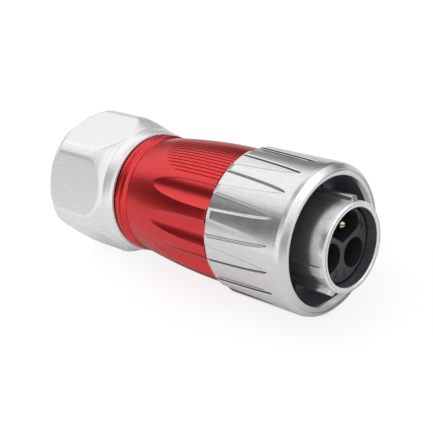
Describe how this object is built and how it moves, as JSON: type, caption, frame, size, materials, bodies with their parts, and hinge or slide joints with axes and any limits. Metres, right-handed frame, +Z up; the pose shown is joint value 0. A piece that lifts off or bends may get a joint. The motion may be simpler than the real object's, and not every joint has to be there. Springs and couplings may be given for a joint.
{
  "type": "circular power connector plug",
  "caption": "Round metal power plug with a turning bayonet ring, a red fluted back shell, a hexagonal cable gland nut and recessed gold pins in a black insulator.",
  "frame": {"origin": "centre of the resting plug's bounding box, at table height", "axes": "+X towards the mating end, along the plug as it lies; +Z up; +Y to the left when looking towards the mating end"},
  "size_m": [0.085, 0.035, 0.0349],
  "materials": {
    "satin_silver": "satin nickel plate",
    "bright_silver": "smooth nickel plate",
    "pale_silver": "fine blasted, matt",
    "red_anodised": "satin red anodised",
    "dark_plastic": "moulded, slightly matt",
    "black_rubber": "matt",
    "gold_plate": "bright gold plate",
    "spring_steel": "plain",
    "cage_plastic": "moulded"
  },
  "bodies": {
    "plug": {"back_shell": "red_anodised", "cable_seal": "black_rubber", "clamp_cage": "cage_plastic", "contact_1": "gold_plate", "contact_2": "gold_plate", "contact_3": "gold_plate", "face_gasket": "black_rubber", "front_shell": "bright_silver", "gland_nut": "pale_silver", "insulator_clip": "spring_steel", "insulator_front": "dark_plastic", "insulator_rear": "dark_plastic", "nut_gasket": "black_rubber", "shell_o_ring": "black_rubber", "slip_washer": "cage_plastic", "terminal_screw_1": "spring_steel", "terminal_screw_2": "spring_steel", "terminal_screw_3": "spring_steel", "wave_washer": "spring_steel"},
    "ring": {"coupling_ring": "satin_silver", "retaining_ring": "spring_steel"}
  },
  "joints": [
    {"name": "coupling_turn", "type": "hinge", "parent": "plug", "child": "ring", "pos_m": [0.02526, 0, 0.01744], "axis": [0.9997, 0, 0.024], "range_deg": [0, 45]}
  ]
}
